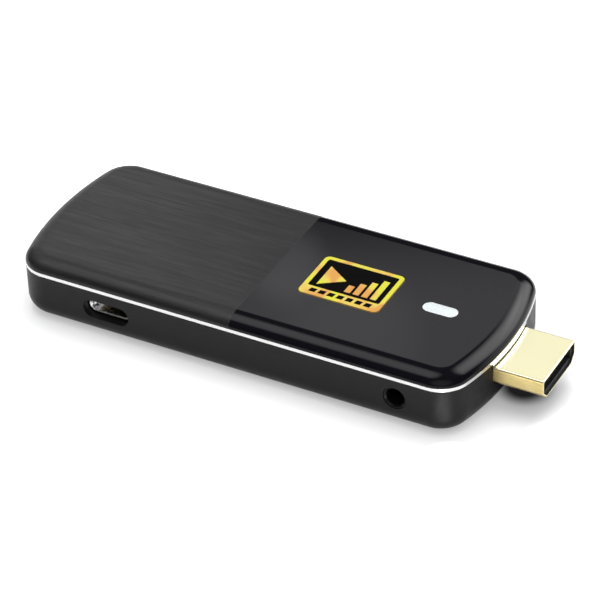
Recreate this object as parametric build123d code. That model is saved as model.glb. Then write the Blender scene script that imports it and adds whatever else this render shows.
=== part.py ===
"""A slim streaming stick: a two-part case with a bright ring, a bare video plug and its inner parts.

Millimetres. +X points out of the video plug, -Y is the side with the power port and the round
socket, +Z is up. The origin is at the middle of the whole object's footprint, on its underside.
"""

from build123d import *
from math import atan, degrees, sqrt
import os

# Case: plan
body_length = 94.6
body_width = 38.0
front_bow_radius = 54.0
rear_bow_radius = 61.0
corner_radius = 6.1
least_corner_radius = 0.1

# How far a cut runs past the face that it opens, and a right angle in degrees
cut_margin = 1.0
quarter_turn = 90

# Case: heights
shell_height = 9.8
ring_height = 0.8
cover_rise = 2.2
bottom_rounding = 3.5

# The cover's edge: a steep foot over the ring, the broad bevel, and a shallow shoulder to the top
foot_rise = 1.15
foot_inset = 0.55
bevel_rise = 0.8
bevel_inset = 1.4
shoulder_inset = 1.65

# Case: walls and the joint between the shells
side_wall = 1.6
floor_thickness = 1.5
cover_thickness = 1.2
rim_thickness = 1.1
skirt_thickness = 0.9
skirt_depth = 2.2
skirt_gap = 0.1

# Snap catches on the skirt and their pockets in the lower shell
catch_count = 3
catch_spacing = 30.0
catch_length = 5.0
catch_height = 0.8
catch_depth = 0.45
catch_drop = 1.7
catch_gap = 0.12

# Ventilation slots in the floor
vent_count = 9
vent_pitch = 4.0
vent_width = 1.4
vent_length = 9.0
vent_row_offset = 6.5

# Main board and its screws
board_thickness = 1.0
board_gap = 0.4
boss_height = 1.75
boss_radius = 2.0
screw_radius = 0.7
screw_head_radius = 1.4
screw_head_height = 0.9
screw_length = 3.6
screw_gap = 0.05
screw_front_inset = 7.2
screw_rear_inset = 6.6
screw_side_inset = 6.7

# Ribs across the floor that the board rests on
rib_thickness = 1.0
rib_length = 18.0
rib_front_inset = 17.0
rib_rear_inset = 11.0

# Video plug
plug_reach = 9.2
plug_width = 13.9
plug_height = 4.45
plug_chamfer = 1.6
plug_corner = 0.45
plug_sheet = 0.3
plug_lift = 0.25
plug_inner_length = 8.0
plug_window_gap = 0.15
plug_lip_chamfer = 0.12
plug_core_setback = 0.4
plug_slot_width = 11.2
plug_slot_height = 1.9
plug_slot_depth = 6.0
plug_leg_length = 1.6
plug_leg_inset = 1.3
plug_leg_drop = 0.3
leg_gap = 0.05
plug_contact_pitch = 1.0
plug_upper_contacts = 10
plug_lower_contacts = 9
plug_contact_width = 0.36
plug_contact_sheet = 0.2
plug_contact_proud = 0.1
plug_contact_setback = 0.8
plug_foot_length = 0.9
plug_upper_foot_reach = 1.5
plug_lower_foot_reach = 0.6

# The ring's tab that closes the notch over the plug
tab_gap = 0.05

# Power port
power_port_from_rear = 21.2
power_shell_width = 8.94
power_shell_height = 3.16
power_shell_sheet = 0.3
power_shell_length = 7.3
power_port_setback = 1.75
power_window_gap = 0.35
power_tongue_width = 6.6
power_tongue_thickness = 0.7
power_tongue_setback = 0.9
power_base_length = 2.0
power_contact_count = 8
power_contact_pitch = 0.75
power_contact_width = 0.25
power_contact_sheet = 0.12
power_foot_length = 0.7
power_upper_foot_reach = 1.2
power_lower_foot_reach = 0.5

# Round 3.5 mm socket
jack_from_front = 14.1
jack_axis_z = 6.0
jack_bore_radius = 1.8
jack_collar_radius = 2.2
jack_collar_setback = 0.15
jack_collar_chamfer = 0.25
jack_window_gap = 0.1
jack_body_width = 6.0
jack_body_height = 5.0
jack_body_length = 10.0
jack_body_gap = 0.15
jack_rear_wall = 1.0
jack_rear_hole_radius = 1.2
jack_groove_depth = 0.8
jack_contact_length = 2.2
jack_contact_height = 3.0
jack_contact_sheet = 0.3
jack_contact_spacing = 4.4
jack_foot_length = 0.9

# Hidden reset switch behind the round socket
switch_width = 6.0
switch_depth = 3.2
switch_height = 3.5
switch_gap = 0.5
switch_cover_sheet = 0.25
switch_cavity_radius = 1.45
switch_cavity_depth = 1.6
switch_hole_radius = 0.8
plunger_radius = 0.75
plunger_head_radius = 1.3
plunger_tip_reach = 0.35
plunger_slack = 0.05
plunger_travel = 0.25
dome_sheet = 0.12
dome_rise = 0.3

# Host port on the far side
host_port_from_rear = 59.9
host_axis_z = 6.3
host_shell_width = 13.1
host_shell_height = 5.7
host_shell_sheet = 0.3
host_shell_corner = 0.5
host_shell_length = 12.0
host_port_setback = 1.7
host_window_gap = 0.2
host_tongue_width = 11.1
host_tongue_thickness = 1.84
host_tongue_lift = 0.95
host_tongue_setback = 0.8
host_base_length = 3.2
host_contact_inner_y = 1.0
host_contact_outer_y = 3.5
host_contact_width = 1.0
host_contact_sheet = 0.25
host_contact_proud = 0.12
host_contact_setback = 1.2
host_foot_length = 1.0
host_foot_reach = 1.2
host_spring_length = 5.0
host_spring_width = 1.6
host_spring_spacing = 6.0
host_spring_slit = 0.35

# Memory card socket on the far side
card_port_from_rear = 23.9
card_cover_width = 13.8
card_cover_height = 1.45
card_cover_sheet = 0.15
card_cover_length = 12.6
card_port_setback = 1.85
card_window_gap = 0.2
card_base_sheet = 0.35
card_rear_wall = 1.2
card_contact_count = 8
card_contact_pitch = 1.1
card_contact_width = 0.5
card_contact_sheet = 0.12
card_contact_proud = 0.06
card_contact_length = 6.0
card_foot_length = 0.8
card_foot_reach = 0.8

# Processor, its pad and its heat sink
processor_from_rear = 39.9
processor_y = -3.0
processor_side = 14.0
processor_height = 1.2
processor_lid_side = 11.0
processor_lid_step = 0.25
pad_side = 12.0
pad_height = 0.5
sink_length = 22.0
sink_width = 18.0
sink_base = 1.0
sink_fin_height = 3.0
sink_fin_thickness = 0.8
sink_fin_count = 8

# Other chips
memory_count = 2
memory_from_far_side = 7.7
memory_length = 7.5
memory_width = 9.5
memory_spacing = 8.6
memory_height = 1.0
storage_from_rear = 59.9
storage_y = -6.0
storage_length = 13.0
storage_width = 11.5
storage_height = 1.0
power_chip_from_rear = 30.7
power_chip_from_near_side = 5.0
power_chip_side = 4.0
power_chip_height = 0.9
inductor_count = 3
inductor_from_rear = 43.9
inductor_from_near_side = 4.6
inductor_spacing = 5.2
inductor_side = 3.6
inductor_height = 1.5
inductor_corner = 0.6
crystal_from_rear = 29.9
crystal_y = -5.5
crystal_length = 2.5
crystal_width = 3.2
crystal_height = 0.8
capacitor_count = 6
capacitor_from_rear = 58.9
capacitor_from_near_side = 4.2
capacitor_spacing = 2.6
capacitor_length = 1.6
capacitor_width = 0.8
capacitor_height = 0.8
chip_edge = 0.15

# Wireless module and its antennas
wireless_from_rear = 10.3
wireless_y = 0.0
wireless_side = 12.0
wireless_board_height = 0.6
wireless_can_side = 10.6
wireless_can_height = 1.4
wireless_can_sheet = 0.15
antenna_from_rear = 12.5
antenna_y = 8.6
antenna_length = 8.0
antenna_width = 2.4
antenna_height = 3.2
antenna_sheet = 0.3

# Status lamp and badge
lamp_from_front = 14.2
lamp_length = 6.8
lamp_width = 2.8
lamp_hole_gap = 0.05
lamp_flange = 0.8
lamp_flange_height = 0.6
lamp_stem_length = 4.6
lamp_stem_width = 1.8
lamp_led_gap = 0.3
led_length = 3.0
led_width = 1.5
led_height = 0.8
badge_from_front = 32.1
badge_length = 16.5
badge_width = 12.4
badge_corner = 1.2
badge_thickness = 0.4
badge_proud = 0.15
badge_gap = 0.05
badge_border = 1.0
badge_strip = 2.7
badge_window_depth = 0.1

# Levels and edges worked out from the sizes above
body_middle_x = -plug_reach / 2
front_x = body_middle_x + body_length / 2
rear_x = body_middle_x - body_length / 2
near_y = -body_width / 2
far_y = body_width / 2
mouth_x = front_x + plug_reach
cover_base_z = shell_height + ring_height
top_z = cover_base_z + cover_rise
cover_ceiling_z = top_z - cover_thickness
bevel_bottom_z = cover_base_z + foot_rise
bevel_top_z = bevel_bottom_z + bevel_rise
shoulder_start = foot_inset + bevel_inset
top_inset = shoulder_start + shoulder_inset
skirt_bottom_z = cover_base_z - skirt_depth
skirt_inset = rim_thickness + skirt_gap
cavity_inset = skirt_inset + skirt_thickness
board_inset = side_wall + board_gap
board_bottom_z = floor_thickness + boss_height
board_top_z = board_bottom_z + board_thickness
board_middle_z = board_bottom_z + board_thickness / 2
board_cut_height = board_thickness + 2 * cut_margin
plug_axis_z = board_top_z + plug_lift + plug_height / 2
plug_top_z = plug_axis_z + plug_height / 2
plug_rear_x = front_x - plug_inner_length
power_port_x = rear_x + power_port_from_rear
power_axis_z = board_top_z + power_shell_height / 2
power_face_y = near_y + power_port_setback
jack_x = front_x - jack_from_front
jack_face_y = near_y + jack_collar_setback
jack_body_y = near_y + side_wall + jack_body_gap
jack_rear_y = jack_body_y + jack_body_length
jack_bore_end_y = jack_rear_y - jack_rear_wall
switch_face_y = jack_rear_y + switch_gap
host_port_x = rear_x + host_port_from_rear
host_face_y = far_y - host_port_setback
host_rear_y = host_face_y - host_shell_length
card_port_x = rear_x + card_port_from_rear
card_face_y = far_y - card_port_setback
card_rear_y = card_face_y - card_cover_length
processor_top_z = board_top_z + processor_height
pad_top_z = processor_top_z + pad_height
processor_x = rear_x + processor_from_rear
memory_y = far_y - memory_from_far_side
storage_x = rear_x + storage_from_rear
power_chip_x = rear_x + power_chip_from_rear
power_chip_y = near_y + power_chip_from_near_side
inductor_x = rear_x + inductor_from_rear
inductor_y = near_y + inductor_from_near_side
crystal_x = rear_x + crystal_from_rear
capacitor_x = rear_x + capacitor_from_rear
capacitor_y = near_y + capacitor_from_near_side
wireless_x = rear_x + wireless_from_rear
antenna_x = rear_x + antenna_from_rear
lamp_x = front_x - lamp_from_front
badge_x = front_x - badge_from_front
middle_bottom = (Align.CENTER, Align.CENTER, Align.MIN)


def bow_depth(radius, half_width):
    """How far an end's arc stands out beyond its two ends."""
    return radius - sqrt(radius ** 2 - half_width ** 2)


def case_plan(inset):
    """The case seen from above, drawn inside its outer edge by the inset."""
    half_width = body_width / 2 - inset
    front_radius = front_bow_radius - inset
    rear_radius = rear_bow_radius - inset
    front_end = (front_x - inset, 0)
    rear_end = (rear_x + inset, 0)
    front_side_x = front_end[0] - bow_depth(front_radius, half_width)
    rear_side_x = rear_end[0] + bow_depth(rear_radius, half_width)
    with BuildSketch() as plan:
        with BuildLine():
            near = Line((rear_side_x, -half_width), (front_side_x, -half_width))
            front = ThreePointArc(near @ 1, front_end, (front_side_x, half_width))
            far = Line(front @ 1, (rear_side_x, half_width))
            ThreePointArc(far @ 1, rear_end, near @ 0)
        make_face()
        fillet(plan.vertices(), max(corner_radius - inset, least_corner_radius))
    return plan.sketch


def slab(plan, low, high):
    """A plan made into a solid between two heights."""
    return extrude(Pos(0, 0, low) * plan, amount=high - low)


def leaning_slab(low_inset, high_inset, low, high):
    """A slab of the case's plan whose edge leans in from one inset to the other."""
    lean = degrees(atan((high_inset - low_inset) / (high - low)))
    return extrude(Pos(0, 0, low) * case_plan(low_inset), amount=high - low, taper=lean)


def case_frame(outer_inset, inner_inset, low, high):
    """A closed band that follows the case's plan."""
    return slab(case_plan(outer_inset), low, high) - slab(case_plan(inner_inset), low, high)


def along_y(profile, x, z, back, front):
    """A profile in X and Z, made into a solid from y = back forward to y = front."""
    start = Plane(origin=(x, back, z), x_dir=(1, 0, 0), z_dir=(0, -1, 0))
    return extrude(start * profile, amount=back - front)


def along_x(profile, y, z, back, front):
    """A profile in Y and Z, made into a solid from x = back forward to x = front."""
    start = Plane(origin=(back, y, z), x_dir=(0, 1, 0), z_dir=(1, 0, 0))
    return extrude(start * profile, amount=front - back)


def on_board(length, width, height, x, y):
    """A plain block that sits on the board."""
    return Pos(x, y, board_top_z) * Box(length, width, height, align=middle_bottom)


def soft_block(length, width, height, x, y, edge):
    """A block on the board with its top edges broken."""
    block = on_board(length, width, height, x, y)
    return chamfer(block.faces().sort_by(Axis.Z)[-1].edges(), edge)


def row(count, spacing):
    """The offsets of a row of equal steps about its middle."""
    return [(step - (count - 1) / 2) * spacing for step in range(count)]


def bent_lead(tip, bend, foot_end, run_z, width, sheet):
    """A strip that runs back level, turns down to the board and ends in a foot, drawn along -X."""
    half = sheet / 2
    with BuildSketch(Plane.XZ) as side:
        with BuildLine():
            Polyline(
                (tip, run_z + half),
                (bend - half, run_z + half),
                (bend - half, board_top_z + sheet),
                (foot_end, board_top_z + sheet),
                (foot_end, board_top_z),
                (bend + half, board_top_z),
                (bend + half, run_z - half),
                (tip, run_z - half),
                close=True,
            )
        make_face()
    return extrude(side.sketch, amount=width / 2, both=True)


def plug_section(inset):
    """The video plug's outline: wide above, its two lower corners cut off at 45 degrees."""
    half = plug_width / 2 - inset
    top = plug_height / 2 - inset
    cut = plug_chamfer - inset * (2 - sqrt(2))
    with BuildSketch() as section:
        with BuildLine():
            Polyline(
                (-half, top),
                (half, top),
                (half, cut - top),
                (half - cut, -top),
                (cut - half, -top),
                (-half, cut - top),
                close=True,
            )
        make_face()
        fillet(section.vertices(), max(plug_corner - inset, least_corner_radius))
    return section.sketch


def screw_places():
    """The two board screws, in opposite corners of the case."""
    front_screw = (front_x - screw_front_inset, near_y + screw_side_inset)
    rear_screw = (rear_x + screw_rear_inset, far_y - screw_side_inset)
    return [front_screw, rear_screw]


def catch_places():
    """The snap catches' places along both long sides, each with its outward direction."""
    middles = [body_middle_x + step for step in row(catch_count, catch_spacing)]
    return [(x, side) for side in (-1, 1) for x in middles]


def catch_bar(x, side, inset, depth, gap):
    """A catch's ridge, or its pocket with the gap, on the case's long side."""
    outer_y = body_width / 2 - inset + depth + gap
    length = catch_length + 2 * gap
    height = catch_height + 2 * gap
    bar = Box(length, depth + gap, height, align=(Align.CENTER, Align.MAX, Align.CENTER))
    turned = bar if side > 0 else bar.rotate(Axis.Z, 180)
    return Pos(x, side * outer_y, cover_base_z - catch_drop) * turned


def top_cover():
    """The bevelled upper shell with its skirt, snap catches, lamp hole and badge recess."""
    cover = leaning_slab(0, foot_inset, cover_base_z, bevel_bottom_z)
    cover += leaning_slab(foot_inset, shoulder_start, bevel_bottom_z, bevel_top_z)
    cover += leaning_slab(shoulder_start, top_inset, bevel_top_z, top_z)
    cover -= slab(case_plan(cavity_inset), cover_base_z, cover_ceiling_z)
    cover += case_frame(skirt_inset, cavity_inset, skirt_bottom_z, cover_base_z)
    for x, side in catch_places():
        cover += catch_bar(x, side, skirt_inset, catch_depth, 0)
    cover -= plug_opening()
    cover -= host_opening()
    cover -= jack_room()
    cover -= slab(lamp_plan(lamp_hole_gap), cover_ceiling_z - cut_margin, top_z)
    cover -= slab(badge_plan(badge_gap), top_z + badge_proud - badge_thickness, top_z)
    return cover


def trim_ring():
    """The bright band between the shells, with a tab that closes the notch over the plug."""
    tab_bottom_z = plug_top_z + plug_window_gap
    tab_width = plug_width + 2 * (plug_window_gap - tab_gap)
    strip = Pos(front_x, 0) * Rectangle(2 * plug_inner_length, tab_width)
    tab = slab(strip, tab_bottom_z, shell_height)
    tab &= case_frame(0, rim_thickness, tab_bottom_z, shell_height)
    return case_frame(0, rim_thickness, shell_height, cover_base_z) + tab


def plug_opening():
    """The room that the video plug needs in the front wall."""
    return along_x(plug_section(-plug_window_gap), 0, plug_axis_z, plug_rear_x, mouth_x)


def plug_notch():
    """The plug's room, open above so that the plug and board drop into the lower shell."""
    width = plug_width + 2 * plug_window_gap
    mouth = Rectangle(width, shell_height - plug_axis_z, align=(Align.CENTER, Align.MIN))
    return plug_opening() + along_x(mouth, 0, plug_axis_z, plug_rear_x, mouth_x)


def power_opening():
    """The oval window in front of the power port."""
    window = SlotOverall(
        power_shell_width + 2 * power_window_gap,
        power_shell_height + 2 * power_window_gap,
    )
    return along_y(window, power_port_x, power_axis_z, power_face_y, near_y - cut_margin)


def jack_opening():
    """The round hole that the socket's collar stands in."""
    hole = Circle(jack_collar_radius + jack_window_gap)
    return along_y(hole, jack_x, jack_axis_z, jack_body_y, near_y - cut_margin)


def jack_room():
    """The room round the socket's block, behind the near wall."""
    room = Rectangle(jack_body_width + 2 * jack_body_gap, jack_body_height + 2 * jack_body_gap)
    return along_y(room, jack_x, jack_axis_z, jack_rear_y, near_y + rim_thickness)


def host_opening():
    """The room that the host port needs in the far wall."""
    window = RectangleRounded(
        host_shell_width + 2 * host_window_gap,
        host_shell_height + 2 * host_window_gap,
        host_shell_corner,
    )
    return along_y(window, host_port_x, host_axis_z, far_y + cut_margin, host_rear_y)


def card_opening():
    """The slot in the far wall that a memory card goes through."""
    window = SlotOverall(
        card_cover_width - 2 * card_window_gap,
        card_cover_height + 2 * card_window_gap,
    )
    middle_z = board_top_z + card_cover_height / 2
    return along_y(window, card_port_x, middle_z, far_y + cut_margin, card_face_y)


def vent_slots():
    """Two rows of slots across the floor."""
    slot = Rectangle(vent_width, vent_length)
    places = [
        (body_middle_x + step, side * vent_row_offset)
        for side in (-1, 1)
        for step in row(vent_count, vent_pitch)
    ]
    pattern = Sketch() + [Pos(x, y) * slot for x, y in places]
    return slab(pattern, 0, floor_thickness)


def lower_shell():
    """The tray: rounded underside, stepped rim, ribs, bosses, vents and the ports' cut-outs."""
    tray = slab(case_plan(0), 0, shell_height)
    tray = fillet(tray.faces().sort_by(Axis.Z)[0].edges(), bottom_rounding)
    hollow = slab(case_plan(side_wall), floor_thickness, shell_height)
    hollow = chamfer(hollow.faces().sort_by(Axis.Z)[0].edges(), bottom_rounding - side_wall)
    tray -= hollow
    tray -= slab(case_plan(rim_thickness), skirt_bottom_z - skirt_gap, shell_height)
    for x in (front_x - rib_front_inset, rear_x + rib_rear_inset):
        rib = Box(rib_thickness, rib_length, boss_height, align=middle_bottom)
        tray += Pos(x, 0, floor_thickness) * rib
    for x, y in screw_places():
        boss = Cylinder(boss_radius, boss_height, align=middle_bottom)
        tray += Pos(x, y, floor_thickness) * boss
    for x, y in screw_places():
        hole = Cylinder(screw_radius + screw_gap, screw_length, align=middle_bottom)
        tray -= Pos(x, y, board_top_z - screw_length) * hole
    for x, side in catch_places():
        tray -= catch_bar(x, side, skirt_inset, catch_depth, catch_gap)
    tray -= vent_slots()
    tray -= plug_notch()
    tray -= power_opening()
    tray -= jack_opening()
    tray -= host_opening()
    tray -= card_opening()
    return tray


def lamp_plan(gap):
    """The lamp window's oval, widened by the gap."""
    return Pos(lamp_x, 0) * SlotOverall(lamp_length + 2 * gap, lamp_width + 2 * gap)


def light_pipe():
    """The clear piece that carries light from the lamp on the board to the top."""
    head = slab(lamp_plan(0), cover_ceiling_z - lamp_flange_height, top_z)
    flange_length = lamp_length + 2 * lamp_flange
    flange_width = lamp_width + 2 * lamp_flange
    flange_plan = Pos(lamp_x, 0) * Rectangle(flange_length, flange_width)
    flange = slab(flange_plan, cover_ceiling_z - lamp_flange_height, cover_ceiling_z)
    stem_plan = Pos(lamp_x, 0) * Rectangle(lamp_stem_length, lamp_stem_width)
    stem_bottom = board_top_z + led_height + lamp_led_gap
    stem = slab(stem_plan, stem_bottom, cover_ceiling_z - lamp_flange_height)
    return head + flange + stem


def status_led():
    """The small lamp on the board under the light pipe."""
    return soft_block(led_length, led_width, led_height, lamp_x, 0, chip_edge)


def badge_plan(gap):
    """The badge's outline, widened by the gap."""
    length = badge_length + 2 * gap
    width = badge_width + 2 * gap
    return Pos(badge_x, 0) * RectangleRounded(length, width, badge_corner + gap)


def badge():
    """The plate let into the top: a raised frame and strip round a sunk window."""
    badge_top = top_z + badge_proud
    plate = slab(badge_plan(0), badge_top - badge_thickness, badge_top)
    window_width = badge_width - badge_border - badge_strip
    window_y = (badge_strip - badge_border) / 2
    window = Rectangle(badge_length - 2 * badge_border, window_width)
    sunk = slab(Pos(badge_x, window_y) * window, badge_top - badge_window_depth, badge_top)
    return plate - sunk


def video_plug_shell():
    """The folded metal shell of the plug with four legs that pass through the board."""
    shell = along_x(plug_section(0), 0, plug_axis_z, plug_rear_x, mouth_x)
    lip = shell.faces().sort_by(Axis.X)[-1].edges()
    shell = chamfer(lip, plug_lip_chamfer)
    shell -= along_x(plug_section(plug_sheet), 0, plug_axis_z, plug_rear_x, mouth_x)
    for x, y in plug_leg_places():
        leg_bottom = board_bottom_z - plug_leg_drop
        leg = Box(plug_leg_length, plug_sheet, plug_axis_z - leg_bottom, align=middle_bottom)
        shell += Pos(x, y, leg_bottom) * leg
    return shell


def plug_leg_places():
    """Two legs on each side of the plug, inside the case."""
    spread = plug_inner_length - side_wall - 2 * plug_leg_inset - plug_leg_length
    first = plug_rear_x + plug_leg_inset
    offset = (plug_width - plug_sheet) / 2
    return [(x, y) for x in (first, first + spread) for y in (-offset, offset)]


def plug_contact_row(count, run_z, bend):
    """One row of the plug's contacts, side by side across Y."""
    tip = mouth_x - plug_core_setback - plug_contact_setback
    lead = bent_lead(tip, bend, bend - plug_foot_length, run_z, plug_contact_width, plug_contact_sheet)
    return [Pos(0, y, 0) * lead for y in row(count, plug_contact_pitch)]


def video_plug_contacts():
    """The upper and lower rows of contacts, staggered by half a pitch."""
    rise = plug_slot_height / 2 + plug_contact_sheet / 2 - plug_contact_proud
    upper_bend = plug_rear_x - plug_upper_foot_reach
    lower_bend = plug_rear_x - plug_lower_foot_reach
    upper = plug_contact_row(plug_upper_contacts, plug_axis_z + rise, upper_bend)
    lower = plug_contact_row(plug_lower_contacts, plug_axis_z - rise, lower_bend)
    return Compound(children=upper + lower)


def video_plug_insulator():
    """The core of the plug, slotted for the socket's tongue and for the two rows of contacts."""
    face_x = mouth_x - plug_core_setback
    core = along_x(plug_section(plug_sheet), 0, plug_axis_z, plug_rear_x, face_x)
    slot = Rectangle(plug_slot_width, plug_slot_height)
    core -= along_x(slot, 0, plug_axis_z, face_x - plug_slot_depth, face_x)
    rise = plug_slot_height / 2 + plug_contact_sheet - plug_contact_proud
    row_width = plug_upper_contacts * plug_contact_pitch
    passages = Rectangle(row_width, 2 * rise) - Rectangle(row_width, 2 * (rise - plug_contact_sheet))
    return core - along_x(passages, 0, plug_axis_z, plug_rear_x, face_x - plug_contact_setback)


def oval(width, height, inset):
    """A port's rounded outline, drawn inside its edge by the inset."""
    return SlotOverall(width - 2 * inset, height - 2 * inset)


def power_port_shell():
    """The drawn metal shell of the power port."""
    rear_y = power_face_y + power_shell_length
    outer = oval(power_shell_width, power_shell_height, 0)
    inner = oval(power_shell_width, power_shell_height, power_shell_sheet)
    return along_y(outer - inner, power_port_x, power_axis_z, rear_y, power_face_y)


def power_port_contacts():
    """Two rows of thin contacts on the tongue, turned to face the near side."""
    tip = power_shell_length - power_tongue_setback - power_contact_sheet
    rise = (power_tongue_thickness + power_contact_sheet) / 2
    rows = [(rise, -power_upper_foot_reach), (-rise, -power_lower_foot_reach)]
    leads = []
    for height, bend in rows:
        lead = bent_lead(
            tip,
            bend,
            bend - power_foot_length,
            power_axis_z + height,
            power_contact_width,
            power_contact_sheet,
        )
        leads += [Pos(0, y, 0) * lead for y in row(power_contact_count, power_contact_pitch)]
    rear_y = power_face_y + power_shell_length
    return Pos(power_port_x, rear_y, 0) * Rot(0, 0, -quarter_turn) * Compound(children=leads)


def power_port_tongue():
    """The moulded core of the power port: a block at the rear and the tongue in front of it."""
    rear_y = power_face_y + power_shell_length
    block = oval(power_shell_width, power_shell_height, power_shell_sheet)
    core = along_y(block, power_port_x, power_axis_z, rear_y, rear_y - power_base_length)
    tongue = Rectangle(power_tongue_width, power_tongue_thickness)
    tongue_face = power_face_y + power_tongue_setback
    core += along_y(tongue, power_port_x, power_axis_z, rear_y, tongue_face)
    passage = Rectangle(
        power_contact_count * power_contact_pitch,
        power_tongue_thickness + 2 * power_contact_sheet,
    )
    middle = Rectangle(power_tongue_width, power_tongue_thickness)
    return core - along_y(passage - middle, power_port_x, power_axis_z, rear_y, tongue_face)


def jack_housing():
    """The round socket: a block with a collar in the case's wall and a bore along Y."""
    block = Rectangle(jack_body_width, jack_body_height)
    housing = along_y(block, jack_x, jack_axis_z, jack_rear_y, jack_body_y)
    collar = along_y(Circle(jack_collar_radius), jack_x, jack_axis_z, jack_body_y, jack_face_y)
    housing += collar
    bore = along_y(Circle(jack_bore_radius), jack_x, jack_axis_z, jack_bore_end_y, jack_face_y)
    housing -= bore
    mouth = housing.faces().sort_by(Axis.Y)[0].edges().sort_by(SortBy.LENGTH)[0]
    housing = chamfer(mouth, jack_collar_chamfer)
    rear_hole = Circle(jack_rear_hole_radius)
    housing -= along_y(rear_hole, jack_x, jack_axis_z, jack_rear_y, jack_bore_end_y)
    for groove in jack_contact_blocks(jack_groove_depth):
        housing -= groove
    return housing


def jack_contact_blocks(depth):
    """Upright slots or strips in both side walls of the socket, two on each side."""
    middle_y = (jack_body_y + jack_rear_y) / 2
    blocks = []
    for side in (-1, 1):
        for step in row(2, jack_contact_spacing):
            strip = Box(
                depth,
                jack_contact_length,
                jack_contact_height,
                align=(Align.MAX, Align.CENTER, Align.MIN),
            )
            turned = strip if side > 0 else strip.rotate(Axis.Z, 180)
            x = jack_x + side * jack_body_width / 2
            blocks.append(Pos(x, middle_y + step, board_top_z) * turned)
    return blocks


def jack_contacts():
    """Four contact strips in the socket's side walls, each with a foot on the board."""
    foot_size = (jack_foot_length, jack_contact_length, jack_contact_sheet)
    strips = []
    for index, strip in enumerate(jack_contact_blocks(jack_contact_sheet)):
        side = -1 if index < 2 else 1
        middle = strip.center()
        x = jack_x + side * (jack_body_width / 2 + jack_foot_length / 2)
        foot = Pos(x, middle.Y, board_top_z) * Box(*foot_size, align=middle_bottom)
        strips.append(strip + foot)
    return Compound(children=strips)


def reset_switch_case():
    """The moulded case of the small side-pressed switch, hollow towards the socket."""
    middle_y = switch_face_y + switch_cover_sheet + switch_depth / 2
    case = on_board(switch_width, switch_depth, switch_height, jack_x, middle_y)
    floor_y = switch_face_y + switch_cover_sheet + switch_cavity_depth
    cavity = Circle(switch_cavity_radius)
    return case - along_y(cavity, jack_x, jack_axis_z, floor_y, switch_face_y)


def reset_switch_cover():
    """The steel plate that closes the switch and guides its plunger."""
    middle_y = switch_face_y + switch_cover_sheet / 2
    plate = on_board(switch_width, switch_cover_sheet, switch_height, jack_x, middle_y)
    rear_y = switch_face_y + switch_cover_sheet
    return plate - along_y(Circle(switch_hole_radius), jack_x, jack_axis_z, rear_y, switch_face_y)


def reset_switch_dome():
    """The thin coned spring disc at the bottom of the switch's cavity."""
    rim = switch_cavity_radius - plunger_slack
    floor_y = switch_face_y + switch_cover_sheet + switch_cavity_depth
    with BuildSketch() as half:
        with BuildLine():
            Polyline(
                (rim, 0),
                (0, -dome_rise),
                (0, -dome_rise - dome_sheet),
                (rim, -dome_sheet),
                close=True,
            )
        make_face()
    return Pos(jack_x, floor_y, jack_axis_z) * revolve(half.sketch, axis=Axis.Y)


def reset_plunger():
    """The plunger: a stem through the cover plate and a head that presses the dome."""
    head_face_y = switch_face_y + switch_cover_sheet + plunger_slack
    floor_y = switch_face_y + switch_cover_sheet + switch_cavity_depth
    head_rear_y = floor_y - dome_rise - dome_sheet - plunger_travel - plunger_slack
    head = along_y(Circle(plunger_head_radius), jack_x, jack_axis_z, head_rear_y, head_face_y)
    tip_y = jack_bore_end_y + plunger_tip_reach
    return head + along_y(Circle(plunger_radius), jack_x, jack_axis_z, head_face_y, tip_y)


def host_port_shell():
    """The folded shell of the host port, with two spring leaves cut free in its roof."""
    outer = RectangleRounded(host_shell_width, host_shell_height, host_shell_corner)
    inner = RectangleRounded(
        host_shell_width - 2 * host_shell_sheet,
        host_shell_height - 2 * host_shell_sheet,
        host_shell_corner - host_shell_sheet,
    )
    shell = along_y(outer - inner, host_port_x, host_axis_z, host_face_y, host_rear_y)
    leaf = Rectangle(host_spring_width, host_spring_length)
    gap = Rectangle(host_spring_width + 2 * host_spring_slit, host_spring_length + host_spring_slit)
    slit = Pos(0, host_spring_slit / 2) * gap - leaf
    middle_y = (host_face_y + host_rear_y) / 2
    roof_z = host_axis_z + host_shell_height / 2
    for step in row(2, host_spring_spacing):
        cut = Pos(host_port_x + step, middle_y) * slit
        shell -= slab(cut, roof_z - host_shell_sheet, roof_z)
    return shell


def host_port_contacts():
    """Four contacts under the tongue of the host port."""
    tip = host_shell_length - host_tongue_setback - host_contact_setback
    tongue_bottom = host_axis_z + host_tongue_lift - host_tongue_thickness / 2
    run_z = tongue_bottom + host_contact_sheet / 2 - host_contact_proud
    lead = bent_lead(
        tip,
        -host_foot_reach,
        -host_foot_reach - host_foot_length,
        run_z,
        host_contact_width,
        host_contact_sheet,
    )
    inner = host_contact_inner_y
    outer = host_contact_outer_y
    leads = [Pos(0, y, 0) * lead for y in (-outer, -inner, inner, outer)]
    return Pos(host_port_x, host_rear_y, 0) * Rot(0, 0, quarter_turn) * Compound(children=leads)


def host_port_tongue():
    """The moulded core of the host port: a block at the rear and the tongue in front of it."""
    block = RectangleRounded(
        host_shell_width - 2 * host_shell_sheet,
        host_shell_height - 2 * host_shell_sheet,
        host_shell_corner - host_shell_sheet,
    )
    block_face = host_rear_y + host_base_length
    core = along_y(block, host_port_x, host_axis_z, block_face, host_rear_y)
    tongue = Rectangle(host_tongue_width, host_tongue_thickness)
    tongue_face = host_face_y - host_tongue_setback
    tongue_z = host_axis_z + host_tongue_lift
    core += along_y(tongue, host_port_x, tongue_z, tongue_face, host_rear_y)
    return core - host_port_contacts()


def card_block(width, height, low, back, front):
    """A block of the card socket between two places along Y."""
    middle_y = (back + front) / 2
    block = Box(width, front - back, height, align=middle_bottom)
    return Pos(card_port_x, middle_y, low) * block


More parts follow.
